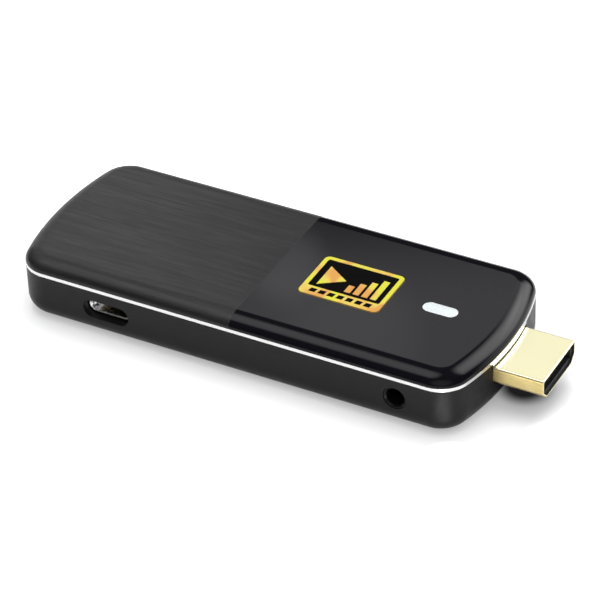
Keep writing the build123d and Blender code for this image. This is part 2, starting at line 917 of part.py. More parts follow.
def card_socket_cover():
    """The sheet metal cover of the card socket: a roof and two sides."""
    cover = card_block(card_cover_width, card_cover_height, board_top_z, card_rear_y, card_face_y)
    inner_width = card_cover_width - 2 * card_cover_sheet
    inner_height = card_cover_height - card_cover_sheet
    return cover - card_block(inner_width, inner_height, board_top_z, card_rear_y, card_face_y)


def card_socket_contacts():
    """The row of contacts on the socket's floor."""
    run_z = board_top_z + card_base_sheet + card_contact_proud - card_contact_sheet / 2
    lead = bent_lead(
        card_contact_length,
        -card_foot_reach,
        -card_foot_reach - card_foot_length,
        run_z,
        card_contact_width,
        card_contact_sheet,
    )
    leads = [Pos(0, y, 0) * lead for y in row(card_contact_count, card_contact_pitch)]
    return Pos(card_port_x, card_rear_y, 0) * Rot(0, 0, quarter_turn) * Compound(children=leads)


def card_socket_base():
    """The moulded floor and rear wall of the card socket."""
    inner_width = card_cover_width - 2 * card_cover_sheet
    inner_height = card_cover_height - card_cover_sheet
    floor = card_block(inner_width, card_base_sheet, board_top_z, card_rear_y, card_face_y)
    wall_face = card_rear_y + card_rear_wall
    wall = card_block(inner_width, inner_height, board_top_z, card_rear_y, wall_face)
    return floor + wall - card_socket_contacts()


def main_board():
    """The board: the case's plan with notches for the sunk ports and holes for screws and legs."""
    board = slab(case_plan(board_inset), board_bottom_z, board_top_z)
    jack_notch = Rectangle(jack_body_width + 2 * board_gap, board_cut_height)
    board -= along_y(jack_notch, jack_x, board_middle_z, jack_rear_y + board_gap, near_y)
    host_notch = Rectangle(host_shell_width + 2 * board_gap, board_cut_height)
    board -= along_y(host_notch, host_port_x, board_middle_z, far_y, host_rear_y - board_gap)
    for x, y in screw_places():
        board -= Pos(x, y, board_middle_z) * Cylinder(screw_radius + screw_gap, board_cut_height)
    leg_slot = Box(plug_leg_length + 2 * leg_gap, plug_sheet + 2 * leg_gap, board_cut_height)
    for x, y in plug_leg_places():
        board -= Pos(x, y, board_middle_z) * leg_slot
    return board


def board_screws():
    """The flat-headed screws that hold the board on its bosses."""
    shank = Cylinder(screw_radius, screw_length, align=(Align.CENTER, Align.CENTER, Align.MAX))
    screw = shank + Cylinder(screw_head_radius, screw_head_height, align=middle_bottom)
    return Compound(children=[Pos(x, y, board_top_z) * screw for x, y in screw_places()])


def processor_chip():
    """The processor: a square package with a raised lid."""
    package_height = processor_height - processor_lid_step
    package = on_board(processor_side, processor_side, package_height, processor_x, processor_y)
    lid = on_board(
        processor_lid_side, processor_lid_side, processor_height, processor_x, processor_y
    )
    return package + lid


def thermal_pad():
    """The soft pad between the processor and the heat sink."""
    pad = Box(pad_side, pad_side, pad_height, align=middle_bottom)
    return Pos(processor_x, processor_y, processor_top_z) * pad


def heat_sink():
    """A finned aluminium block over the processor."""
    sink = Box(sink_length, sink_width, sink_base, align=middle_bottom)
    fin = Box(sink_length, sink_fin_thickness, sink_base + sink_fin_height, align=middle_bottom)
    fin_pitch = (sink_width - sink_fin_thickness) / (sink_fin_count - 1)
    for y in row(sink_fin_count, fin_pitch):
        sink += Pos(0, y, 0) * fin
    return Pos(processor_x, processor_y, pad_top_z) * sink


def memory_chips():
    """A row of memory chips beside the processor."""
    chips = [
        soft_block(memory_length, memory_width, memory_height, processor_x + step, memory_y, chip_edge)
        for step in row(memory_count, memory_spacing)
    ]
    return Compound(children=chips)


def storage_chip():
    """The flash storage chip."""
    return soft_block(
        storage_length, storage_width, storage_height, storage_x, storage_y, chip_edge
    )


def power_chip():
    """The power controller near the power port."""
    return soft_block(
        power_chip_side, power_chip_side, power_chip_height, power_chip_x, power_chip_y, chip_edge
    )


def inductors():
    """The coils of the power supply, in moulded square blocks with their corners cut off."""
    plan = Rectangle(inductor_side, inductor_side)
    plan = chamfer(plan.vertices(), inductor_corner)
    block = slab(plan, board_top_z, board_top_z + inductor_height)
    places = row(inductor_count, inductor_spacing)
    return Compound(children=[Pos(inductor_x + step, inductor_y, 0) * block for step in places])


def crystal():
    """The metal-capped clock crystal."""
    return soft_block(
        crystal_length, crystal_width, crystal_height, crystal_x, crystal_y, chip_edge
    )


def capacitors():
    """A row of chip capacitors beside the storage chip."""
    block = on_board(capacitor_width, capacitor_length, capacitor_height, capacitor_x, capacitor_y)
    places = row(capacitor_count, capacitor_spacing)
    return Compound(children=[Pos(step, 0, 0) * block for step in places])


def wireless_board():
    """The small board of the wireless module."""
    return on_board(wireless_side, wireless_side, wireless_board_height, wireless_x, wireless_y)


def wireless_can():
    """The module's screening can, open below."""
    base_z = board_top_z + wireless_board_height
    can = Box(wireless_can_side, wireless_can_side, wireless_can_height, align=middle_bottom)
    can = chamfer(can.faces().sort_by(Axis.Z)[-1].edges(), wireless_can_sheet)
    inner_side = wireless_can_side - 2 * wireless_can_sheet
    inner_height = wireless_can_height - wireless_can_sheet
    can -= Box(inner_side, inner_side, inner_height, align=middle_bottom)
    return Pos(wireless_x, wireless_y, base_z) * can


def antennas():
    """Two bent sheet antennas, one on each side of the wireless module."""
    arm_z = board_top_z + antenna_height - antenna_sheet
    arm = Pos(0, 0, arm_z) * Box(antenna_length, antenna_width, antenna_sheet, align=middle_bottom)
    leg = Box(antenna_sheet, antenna_width, antenna_height, align=middle_bottom)
    leg_x = (antenna_length - antenna_sheet) / 2
    feed_x = leg_x - antenna_width
    antenna = arm
    for x in (leg_x, feed_x):
        antenna += Pos(x, 0, board_top_z) * leg
    sides = (-1, 1)
    return Compound(children=[Pos(antenna_x, side * antenna_y, 0) * antenna for side in sides])


nodes = (
    top_cover,
    trim_ring,
    lower_shell,
    light_pipe,
    badge,
    video_plug_shell,
    video_plug_insulator,
    video_plug_contacts,
    power_port_shell,
    power_port_tongue,
    power_port_contacts,
    jack_housing,
    jack_contacts,
    reset_switch_case,
    reset_switch_cover,
    reset_switch_dome,
    reset_plunger,
    host_port_shell,
    host_port_tongue,
    host_port_contacts,
    card_socket_cover,
    card_socket_base,
    card_socket_contacts,
    main_board,
    board_screws,
    processor_chip,
    thermal_pad,
    heat_sink,
    memory_chips,
    storage_chip,
    power_chip,
    inductors,
    crystal,
    capacitors,
    wireless_board,
    wireless_can,
    antennas,
    status_led,
)

os.makedirs("parts", exist_ok=True)
for node in nodes:
    export_step(node(), f"parts/{node.__name__}.step")
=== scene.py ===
"""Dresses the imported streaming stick: fine outer pieces, materials, studio light and camera."""

from math import asin, atan2, cos, hypot, pi, radians, sin, sqrt, tan

import bpy
from mathutils import Matrix, Vector
from mathutils.geometry import tessellate_polygon


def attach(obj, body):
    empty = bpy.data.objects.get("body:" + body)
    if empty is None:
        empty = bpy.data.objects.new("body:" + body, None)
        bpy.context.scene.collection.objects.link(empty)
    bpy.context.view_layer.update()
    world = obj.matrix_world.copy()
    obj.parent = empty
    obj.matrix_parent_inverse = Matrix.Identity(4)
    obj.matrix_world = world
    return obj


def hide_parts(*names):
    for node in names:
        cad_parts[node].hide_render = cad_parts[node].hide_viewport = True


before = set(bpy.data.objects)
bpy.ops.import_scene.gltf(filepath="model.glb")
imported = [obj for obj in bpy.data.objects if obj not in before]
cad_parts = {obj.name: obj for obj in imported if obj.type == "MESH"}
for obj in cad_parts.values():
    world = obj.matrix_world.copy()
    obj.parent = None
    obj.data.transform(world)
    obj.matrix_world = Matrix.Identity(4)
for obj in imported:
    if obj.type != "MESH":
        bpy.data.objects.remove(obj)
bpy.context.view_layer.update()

MM = 0.001

# Sizes of the case and what shows on it, in millimetres, as in the CAD source
FRONT_X = 42.7
REAR_X = -51.9
HALF_WIDTH = 19.0
FRONT_BOW = 54.0
REAR_BOW = 61.0
CORNER = 6.1
SHELL_TOP = 9.8
COVER_BASE = 10.6
TOP = 12.8
COVER_RISE = 2.2
BEVEL_WIDTH = 3.6
CAVITY_INSET = 2.1
CEILING = 11.6
RIM = 1.1
SEAM_X = -4.65
PLUG_AXIS_Z = 6.725
PLUG_WIDTH = 13.9
PLUG_HEIGHT = 4.45
PLUG_CHAMFER = 1.6
PLUG_CORNER = 0.45
PLUG_SHEET = 0.3
PLUG_REAR_X = 34.7
MOUTH_X = 51.9
TAB_HALF = 7.05
TAB_BOTTOM = 9.3
LAMP_X = 28.5
LAMP_LENGTH = 6.8
LAMP_WIDTH = 2.8
BADGE_X = 10.6
BADGE_LENGTH = 16.5
BADGE_WIDTH = 12.4
BADGE_CORNER = 1.2
BADGE_TOP = 12.95
BADGE_THICKNESS = 0.4

# Finer sizes that only this script has, in millimetres: the gap round what is set into the cover,
# the ring's and the badge's broken edges, the roll of the plug's lip, and the sunk badge window
GAP = 0.05
RING_EDGE = 0.07
BADGE_EDGE = 0.14
PLUG_LIP = 0.14
WINDOW_SINK = 0.1

# A point this near to a line lies on it, and a triangle of less area than a sliver is left out
ON_LINE = 1e-6
SLIVER = 1e-9


def metres(point):
    return [c * MM for c in point]


def plan(loop):
    """The loop's points without their normals."""
    return [p[:2] for p in loop]


def upright(a, b, low, high):
    """The corners of an upright face over the stretch from a to b."""
    return [(*a[:2], low), (*b[:2], low), (*b[:2], high), (*a[:2], high)]


class Shape:
    """A mesh under construction: shared points, faces with a normal for each corner, and slots."""

    def __init__(self):
        self.points = []
        self.found = {}
        self.faces = []
        self.normals = []
        self.slots = []

    def point(self, p):
        key = tuple(round(c, 5) for c in p)
        if key not in self.found:
            self.found[key] = len(self.points)
            self.points.append(key)
        return self.found[key]

    def face(self, corners, normals=None, slot=0):
        """Adds a face; without normals it is flat."""
        kept, kept_normals = [], []
        if normals is None:
            n = Vector((0, 0, 0))
            for a, b in zip(corners, corners[1:] + corners[:1]):
                n += Vector(a).cross(Vector(b))
            normals = [tuple(n.normalized())] * len(corners)
        for p, n in zip(corners, normals):
            i = self.point(p)
            if i not in kept:
                kept.append(i)
                kept_normals.append(tuple(n))
        if len(kept) > 2:
            self.faces.append(kept)
            self.normals += kept_normals
            self.slots.append(slot)

    def flat(self, loops, z, up=True, slot=0):
        """Fills the space between an outer loop and its holes at one height."""
        lists = [[Vector((x, y, 0)) for x, y in loop] for loop in loops]
        flat = [p for loop in lists for p in loop]
        normal = (0, 0, 1 if up else -1)
        for triangle in tessellate_polygon(lists):
            a, b, c = (flat[i] for i in triangle)
            turn = (b - a).cross(c - a).z
            if abs(turn) < SLIVER:
                continue
            if (turn > 0) != up:
                b, c = c, b
            self.face([(p.x, p.y, z) for p in (a, b, c)], [normal] * 3, slot)

    def wall(self, loop, low, high, inward=False):
        """An upright wall along a closed loop of (x, y, nx, ny)."""
        sign = -1 if inward else 1
        for a, b in zip(loop, loop[1:] + loop[:1]):
            corners = upright(a, b, low, high)
            normals = [(sign * p[2], sign * p[3], 0) for p in (a, b, b, a)]
            if inward:
                corners.reverse()
                normals = [normals[i] for i in (3, 2, 1, 0)]
            self.face(corners, normals)

    def make(self, name, materials, replaces, body="stick"):
        mesh = bpy.data.meshes.new(name)
        mesh.from_pydata([metres(p) for p in self.points], [], self.faces)
        for m in materials:
            mesh.materials.append(m)
        mesh.polygons.foreach_set("material_index", self.slots)
        mesh.polygons.foreach_set("use_smooth", [True] * len(self.faces))
        mesh.normals_split_custom_set(self.normals)
        mesh.update()
        piece = bpy.data.objects.new(name, mesh)
        bpy.context.scene.collection.objects.link(piece)
        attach(piece, body)
        if replaces:
            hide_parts(*replaces)
        return piece


# Plan of the case

def bow_geometry(radius):
    """How far ahead of the bow's centre its corners' centres lie, and the bow's half angle."""
    side = HALF_WIDTH - CORNER
    reach = radius - CORNER
    return sqrt(reach ** 2 - side ** 2), asin(side / reach)


def arc(cx, cy, radius, start, end, steps, skip_first=False):
    """Points along an arc as (x, y, normal x, normal y)."""
    first = 1 if skip_first else 0
    angles = [start + (end - start) * i / steps for i in range(first, steps + 1)]
    return [(cx + radius * cos(a), cy + radius * sin(a), cos(a), sin(a)) for a in angles]


def case_outline(corner_steps=14, bow_steps=20):
    """The case's outer edge from above as (x, y, normal x, normal y), against the clock."""
    reach_f, half_f = bow_geometry(FRONT_BOW)
    reach_r, half_r = bow_geometry(REAR_BOW)
    front_c = FRONT_X - FRONT_BOW
    rear_c = REAR_X + REAR_BOW
    fx = front_c + reach_f
    rx = rear_c - reach_r
    side = HALF_WIDTH - CORNER
    tab = asin(TAB_HALF / FRONT_BOW)
    outline = arc(rx, -side, CORNER, pi + half_r, 1.5 * pi, corner_steps)
    outline += [(SEAM_X, -HALF_WIDTH, 0, -1)]
    outline += arc(fx, -side, CORNER, -pi / 2, -half_f, corner_steps)
    outline += arc(front_c, 0, FRONT_BOW, -half_f, -tab, bow_steps // 4, True)
    outline += arc(front_c, 0, FRONT_BOW, -tab, tab, bow_steps, True)
    outline += arc(front_c, 0, FRONT_BOW, tab, half_f, bow_steps // 4, True)
    outline += arc(fx, side, CORNER, half_f, pi / 2, corner_steps, True)
    outline += [(SEAM_X, HALF_WIDTH, 0, 1)]
    outline += arc(rx, side, CORNER, pi / 2, pi - half_r, corner_steps)
    outline += arc(rear_c, 0, REAR_BOW, pi - half_r, pi + half_r, bow_steps, True)
    return outline[:-1]


def inset_loop(outline, inset):
    return [(x - nx * inset, y - ny * inset) for x, y, nx, ny in outline]


def sweep(shape, outline, steps, slot_of=lambda x: 0, closed=True):
    """Carries a profile round the outline. A step is two ends, each (inset, z, outward, upward)."""
    pairs = list(zip(outline, outline[1:] + outline[:1]))
    if not closed:
        pairs = pairs[:-1]
    for a, b in pairs:
        slot = slot_of((a[0] + b[0]) / 2)
        for low, high in steps:
            corners, normals = [], []
            for p, (inset, z, out, up) in ((a, low), (b, low), (b, high), (a, high)):
                corners.append((p[0] - p[2] * inset, p[1] - p[3] * inset, z))
                normals.append((p[2] * out, p[3] * out, up))
            shape.face(corners, normals, slot)


def straight(*stops):
    """Steps between stops (inset, z), each with the flat normal of its own stretch."""
    steps = []
    for (i0, z0), (i1, z1) in zip(stops, stops[1:]):
        length = hypot(i1 - i0, z1 - z0)
        out, up = (z1 - z0) / length, (i1 - i0) / length
        steps.append(((i0, z0, out, up), (i1, z1, out, up)))
    return steps


def oval_loop(cx, cy, length, width, steps=14):
    """A slot with round ends, as (x, y, nx, ny)."""
    r = width / 2
    half = length / 2 - r
    right = arc(cx + half, cy, r, -pi / 2, pi / 2, steps)
    return right + arc(cx - half, cy, r, pi / 2, 1.5 * pi, steps)


def box_loop(cx, cy, length, width, corner, steps=8):
    """A rectangle with round corners, as (x, y, nx, ny)."""
    hx, hy = length / 2 - corner, width / 2 - corner
    loop = arc(cx + hx, cy - hy, corner, -pi / 2, 0, steps)
    loop.append((cx + length / 2, cy, 1, 0))
    loop += arc(cx + hx, cy + hy, corner, 0, pi / 2, steps)
    loop += arc(cx - hx, cy + hy, corner, pi / 2, pi, steps)
    loop.append((cx - length / 2, cy, -1, 0))
    return loop + arc(cx - hx, cy - hy, corner, pi, 1.5 * pi, steps)


# Materials

# The power port's metal shell, in millimetres: where its face and its left end are, and how far in
# the painted glint of the lip and of that end reaches.
# The glint is painted light, a glow on the metal; at the end it glows in spots.
PORT_FACE_Y = -17.25
PORT_LIP_DEPTH = 0.15
LIP_PAINTED_GLINT = 0.08
PORT_END_X = -34.9
PORT_END_DEPTH = 1.25
END_PAINTED_GLINT = 0.8
GLINT_SPOT_CELLS = (2.2, 2.2, 2.2)
GLINT_SPOT_EDGE = (0.46, 0.52)
BETWEEN_GLINT_SPOTS = 0.02
# The middle of a noise's values, over which colours and roughness are spread
NOISE_LOW = 0.3
NOISE_HIGH = 0.7
# Patches of uneven roughness are this many grains wide, and nothing is smoother than the last value
PATCH = 9
SMOOTHEST = 0.02
# The brushed cover's streaks are part fine, part long
FINE_SHARE = 0.45
LONG_SHARE = 0.55


def new_material(name):
    m = bpy.data.materials.new(name)
    m.use_nodes = True
    tree = m.node_tree
    tree.nodes.clear()
    out = tree.nodes.new("ShaderNodeOutputMaterial")
    shader = tree.nodes.new("ShaderNodeBsdfPrincipled")
    tree.links.new(shader.outputs["BSDF"], out.inputs["Surface"])
    return m, tree, shader


def object_place(tree):
    """The object coordinates, in metres."""
    return tree.nodes.new("ShaderNodeTexCoord").outputs["Object"]


def noise(tree, scale, detail=3, roughness=0.5, distortion=0.0):
    """Noise whose cells are 1 / scale millimetres along each axis."""
    mapping = tree.nodes.new("ShaderNodeMapping")
    mapping.inputs["Scale"].default_value = [s / MM for s in scale]
    tree.links.new(object_place(tree), mapping.inputs["Vector"])
    node = tree.nodes.new("ShaderNodeTexNoise")
    node.inputs["Scale"].default_value = 1.0
    node.inputs["Detail"].default_value = detail
    node.inputs["Roughness"].default_value = roughness
    node.inputs["Distortion"].default_value = distortion
    tree.links.new(mapping.outputs["Vector"], node.inputs["Vector"])
    return node.outputs["Fac"]


def ramp(tree, source, stops):
    node = tree.nodes.new("ShaderNodeValToRGB")
    while len(node.color_ramp.elements) < len(stops):
        node.color_ramp.elements.new(0.5)
    for element, (place, colour) in zip(node.color_ramp.elements, stops):
        element.position = place
        element.color = (*colour, 1)
    tree.links.new(source, node.inputs["Fac"])
    return node.outputs["Color"]


def blend(tree, source, colour, other):
    """Two colours, mixed by a noise."""
    return ramp(tree, source, ((NOISE_LOW, colour), (NOISE_HIGH, other)))


def map_range(tree, source, start, end, low, high, kind="SMOOTHSTEP"):
    """A value that runs from low at start to high at end."""
    node = tree.nodes.new("ShaderNodeMapRange")
    node.interpolation_type = kind
    for name, value in (("From Min", start), ("From Max", end), ("To Min", low), ("To Max", high)):
        node.inputs[name].default_value = value
    tree.links.new(source, node.inputs["Value"])
    return node.outputs["Result"]


def spread(tree, source, low, high):
    """A value from low to high, spread evenly over a noise."""
    return map_range(tree, source, NOISE_LOW, NOISE_HIGH, low, high, "LINEAR")


def compute(tree, operation, *terms):
    """A Math node, each of whose terms is a number or another node's output."""
    node = tree.nodes.new("ShaderNodeMath")
    node.operation = operation
    for socket, term in zip(node.inputs, terms):
        if isinstance(term, (int, float)):
            socket.default_value = term
        else:
            tree.links.new(term, socket)
    return node.outputs[0]


def vector_math(tree, operation, source, other=(0, 0, 0), output="Vector"):
    """A Vector Math node between another node's output and a fixed vector."""
    node = tree.nodes.new("ShaderNodeVectorMath")
    node.operation = operation
    node.inputs[1].default_value = other
    tree.links.new(source, node.inputs[0])
    return node.outputs[output]


def bump(tree, shader, source, depth, strength=1.0):
    """Bump whose full height is the depth in millimetres."""
    node = tree.nodes.new("ShaderNodeBump")
    node.inputs["Strength"].default_value = strength
    node.inputs["Distance"].default_value = depth * MM
    tree.links.new(source, node.inputs["Height"])
    tree.links.new(node.outputs["Normal"], shader.inputs["Normal"])


def surface(name, colour, other, rough, metallic=0.0, grain=(4, 4, 4), depth=0.004, detail=3,
            rough_spread=0.06, specular=0.5):
    """A moulded, plated or pressed surface: two near colours, uneven roughness, a fine grain."""
    m, tree, shader = new_material(name)
    cells = noise(tree, grain, detail)
    tree.links.new(blend(tree, cells, colour, other), shader.inputs["Base Color"])
    patches = noise(tree, [g / PATCH for g in grain], 2)
    lowest = max(rough - rough_spread, SMOOTHEST)
    tree.links.new(spread(tree, patches, lowest, rough + rough_spread), shader.inputs["Roughness"])
    shader.inputs["Metallic"].default_value = metallic
    shader.inputs["Specular IOR Level"].default_value = specular
    if depth:
        bump(tree, shader, cells, depth)
    return m


def port_metal_painted_glints():
    """Bright steel with painted glints: its front lip and its left end glow, at the end in spots,
    as the light they would catch.
    """
    m, tree, shader = new_material("port_metal_painted_glints")
    grain = noise(tree, (1, 5, 5))
    tree.links.new(
        blend(tree, grain, (0.6, 0.6, 0.6), (0.75, 0.75, 0.76)), shader.inputs["Base Color"]
    )
    tree.links.new(spread(tree, grain, 0.2, 0.3), shader.inputs["Roughness"])
    shader.inputs["Metallic"].default_value = 1.0
    place = tree.nodes.new("ShaderNodeSeparateXYZ")
    tree.links.new(object_place(tree), place.inputs[0])

    # Painted glint: a glow that fades in from the lip and from the left end
    def glow(axis, edge, depth, strength):
        return map_range(tree, place.outputs[axis], edge * MM, (edge + depth) * MM, strength, 0.0)

    lip_glint = glow("Y", PORT_FACE_Y, PORT_LIP_DEPTH, LIP_PAINTED_GLINT)
    end = glow("X", PORT_END_X, PORT_END_DEPTH, END_PAINTED_GLINT)
    glint_spots = map_range(tree, noise(tree, GLINT_SPOT_CELLS), *GLINT_SPOT_EDGE, BETWEEN_GLINT_SPOTS, 1.0)
    painted_glint = compute(tree, "MULTIPLY_ADD", end, glint_spots, lip_glint)
    tree.links.new(painted_glint, shader.inputs["Emission Strength"])
    shader.inputs["Emission Color"].default_value = (1, 1, 1, 1)
    return m


def brushed_cover():
    """Dark plastic with fine streaks along the stick."""
    m, tree, shader = new_material("cover_brushed")
    fine = noise(tree, (0.3, 7.0, 7.0), 4, 0.65, 0.3)
    long = noise(tree, (0.09, 1.6, 1.6), 2)
    part = compute(tree, "MULTIPLY", fine, FINE_SHARE)
    streaks = compute(tree, "MULTIPLY_ADD", long, LONG_SHARE, part)
    colours = (
        (0.3, (0.0033, 0.0033, 0.0037)),
        (0.5, (0.0088, 0.0088, 0.0096)),
        (0.7, (0.0162, 0.0162, 0.0171)),
    )
    tree.links.new(ramp(tree, streaks, colours), shader.inputs["Base Color"])
    tree.links.new(spread(tree, streaks, 0.45, 0.38), shader.inputs["Roughness"])
    shader.inputs["Specular IOR Level"].default_value = 0.27
    bump(tree, shader, fine, 0.003, 0.5)
    return m


def gold_foil():
    """Printed gold foil that runs from yellow to orange in soft bands."""
    m, tree, shader = new_material("badge_foil")
    bands = noise(tree, (0.2, 0.14, 0.1), 1, 0.4, 0.6)
    colours = ((0.33, (0.56, 0.27, 0.06)), (0.44, (0.6, 0.47, 0.08)), (0.56, (0.56, 0.54, 0.035)))
    tree.links.new(ramp(tree, bands, colours), shader.inputs["Base Color"])
    grain = noise(tree, (8, 8, 8), 3)
    tree.links.new(spread(tree, grain, 0.28, 0.42), shader.inputs["Roughness"])
    shader.inputs["Metallic"].default_value = 0.15
    shader.inputs["Specular IOR Level"].default_value = 0.3
    bump(tree, shader, grain, 0.003)
    return m


def lamp_glow():
    """Milky lens, lit from below."""
    m, tree, shader = new_material("lamp_lens")
    cells = noise(tree, (0.5, 0.5, 0.5), 2)
    colour = blend(tree, cells, (0.53, 0.57, 0.58), (0.57, 0.61, 0.62))
    tree.links.new(colour, shader.inputs["Base Color"])
    tree.links.new(spread(tree, noise(tree, (3, 3, 3)), 0.2, 0.32), shader.inputs["Roughness"])
    tree.links.new(colour, shader.inputs["Emission Color"])
    shader.inputs["Emission Strength"].default_value = 0.12
    return m


gloss = surface(
    "cover_gloss", (0.0036, 0.0034, 0.0052), (0.0046, 0.0044, 0.0062), 0.035,
    grain=(1, 1, 1), depth=0.0004, rough_spread=0.008, specular=0.14,
)
brushed = brushed_cover()
ring_metal = surface(
    "ring_metal", (0.59, 0.59, 0.59), (0.63, 0.63, 0.63), 0.22, 0.8,
    grain=(0.4, 6, 6), depth=0.0004,
)
satin = surface(
    "shell_satin", (0.005, 0.005, 0.0055), (0.0065, 0.0065, 0.007), 0.4,
    grain=(5, 5, 5), depth=0.005, specular=0.15,
)
plug_plate = surface(
    "plug_plate", (0.785, 0.74, 0.47), (0.80, 0.76, 0.51), 0.17, 0.75,
    grain=(0.5, 3, 3), depth=0, rough_spread=0.005,
)
# Painted shade: the plug's sides and bottom are the top's gold plating, coloured darker and deeper
# for the shade they lie in
plug_flank_painted_shade = surface(
    "plug_flank_painted_shade", (0.56, 0.45, 0.18), (0.66, 0.53, 0.235), 0.28, 0.75,
    grain=(0.5, 3, 3), depth=0, rough_spread=0.005,
)
# Painted shade: the inside of the plug's metal shell, coloured dark for the shade it lies in
plug_inside_painted_shade = surface(
    "plug_inside_painted_shade", (0.02, 0.017, 0.01), (0.03, 0.025, 0.015), 0.55, 0.2,
    grain=(2, 6, 6), depth=0.001, specular=0.2,
)
black_plastic = surface(
    "connector_black", (0.012, 0.012, 0.012), (0.018, 0.018, 0.018), 0.45, grain=(5, 5, 5)
)
jack_black = surface(
    "jack_black", (0.003, 0.003, 0.003), (0.005, 0.005, 0.005), 0.3,
    grain=(5, 5, 5), specular=0.15,
)
core_plastic = surface(
    "plug_core_black", (0.016, 0.016, 0.017), (0.022, 0.022, 0.024), 0.4,
    grain=(5, 5, 5), specular=0.1,
)
contact_gold = surface(
    "contact_gold", (0.86, 0.66, 0.27), (0.93, 0.75, 0.36), 0.22, 1.0,
    grain=(2, 6, 6), depth=0.001,
)
steel = surface(
    "port_steel", (0.6, 0.6, 0.6), (0.75, 0.75, 0.76), 0.24, 1.0, grain=(1, 5, 5), depth=0.002
)
dark_steel = surface(
    "screw_steel", (0.2, 0.2, 0.21), (0.28, 0.28, 0.29), 0.35, 1.0, grain=(6, 6, 6)
)
aluminium = surface(
    "sink_aluminium", (0.6, 0.61, 0.62), (0.72, 0.73, 0.74), 0.34, 1.0, grain=(0.2, 6, 6)
)
mask = surface(
    "board_mask", (0.004, 0.006, 0.006), (0.007, 0.01, 0.009), 0.35,
    grain=(0.7, 0.7, 0.7), detail=6,
)
chip = surface(
    "chip_package", (0.018, 0.018, 0.018), (0.03, 0.03, 0.03), 0.55, grain=(9, 9, 9), depth=0.01
)
pad = surface(
    "pad_silicone", (0.25, 0.33, 0.48), (0.33, 0.42, 0.58), 0.7, grain=(3, 3, 3), depth=0.02
)
powder = surface(
    "inductor_powder", (0.1, 0.1, 0.1), (0.18, 0.18, 0.18), 0.6, grain=(9, 9, 9), depth=0.015
)
ceramic = surface(
    "capacitor_ceramic", (0.45, 0.32, 0.2), (0.6, 0.46, 0.3), 0.5, grain=(6, 6, 6)
)
pale = surface("plunger_pale", (0.78, 0.76, 0.7), (0.86, 0.84, 0.78), 0.4, grain=(5, 5, 5))
milky = surface("pipe_milky", (0.82, 0.88, 0.88), (0.9, 0.95, 0.95), 0.25, grain=(2, 2, 2))
led = surface("led_package", (0.9, 0.9, 0.75), (0.95, 0.95, 0.85), 0.3, grain=(5, 5, 5))
window_black = surface(
    "badge_window", (0.0006, 0.0006, 0.0006), (0.001, 0.001, 0.001), 0.6,
    grain=(6, 6, 6), depth=0.002, specular=0.03,
)
foil = gold_foil()
badge_edge = surface(
    "badge_edge", (0.15, 0.09, 0.012), (0.19, 0.12, 0.018), 0.5, grain=(2, 2, 2), specular=0.2
)
lens = lamp_glow()

dressing = {
    "lower_shell": satin,
    "light_pipe": milky,
    "video_plug_insulator": core_plastic,
    "video_plug_contacts": contact_gold,
    # The power port's shell carries painted glints
    "power_port_shell": port_metal_painted_glints(),
    "power_port_tongue": black_plastic,
    "power_port_contacts": contact_gold,
    "jack_housing": jack_black,
    "jack_contacts": contact_gold,
    "reset_switch_case": black_plastic,
    "reset_switch_cover": steel,
    "reset_switch_dome": steel,
    "reset_plunger": pale,
    "host_port_shell": steel,
    "host_port_tongue": black_plastic,
    "host_port_contacts": contact_gold,
    "card_socket_cover": steel,
    "card_socket_base": black_plastic,
    "card_socket_contacts": contact_gold,
    "main_board": mask,
    "board_screws": dark_steel,
    "processor_chip": chip,
    "thermal_pad": pad,
    "heat_sink": aluminium,
    "memory_chips": chip,
    "storage_chip": chip,
    "power_chip": chip,
    "inductors": powder,
    "crystal": steel,
    "capacitors": ceramic,
    "wireless_board": mask,
    "wireless_can": steel,
    "antennas": steel,
    "status_led": led,
}
for node, finish in dressing.items():
    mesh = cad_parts[node].data
    mesh.materials.clear()
    mesh.materials.append(finish)


# Outer pieces

def half_flat(flat, holes, side):
    """Half of the flat top ahead of the seam, on one side, round its share of the holes."""
    half = [p for p in flat if p[0] > SEAM_X - ON_LINE and side * p[1] > -ON_LINE]
    half.sort(key=lambda p: -atan2(abs(p[1]), p[0] - SEAM_X))
    for middle, hole in holes:
        share = [p for p in hole if side * p[1] > -ON_LINE]
        half += sorted(share, key=lambda p: atan2(abs(p[1]), p[0] - middle))
    half.append((SEAM_X, 0))
    return half if side < 0 else half[::-1]


